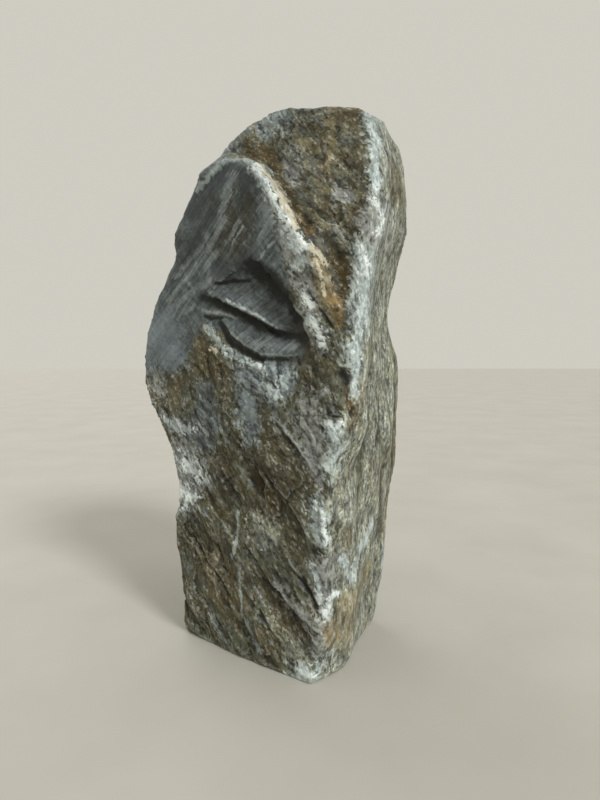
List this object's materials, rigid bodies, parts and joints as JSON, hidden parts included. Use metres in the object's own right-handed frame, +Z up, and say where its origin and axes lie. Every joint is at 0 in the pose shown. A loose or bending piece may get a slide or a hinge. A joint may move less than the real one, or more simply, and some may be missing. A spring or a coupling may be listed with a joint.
{
  "type": "soapstone block",
  "caption": "Rough upright block of soapstone with a broken upper facet, a hollow under a ledge and a flat foot, for carving or display.",
  "frame": {"origin": "middle of the block's bounding box, at the level of its foot", "axes": "+Z up the length of the block; +X to the right and +Y to the back, seen from the side with the hollow and the broken facet"},
  "size_m": [0.1948, 0.1734, 0.3565],
  "materials": {
    "stone": "rough foliated soapstone, satin, grey-green with brown and rust stains and pale bluish-white edges"
  },
  "bodies": {
    "root": {"stone": "stone"}
  },
  "joints": []
}
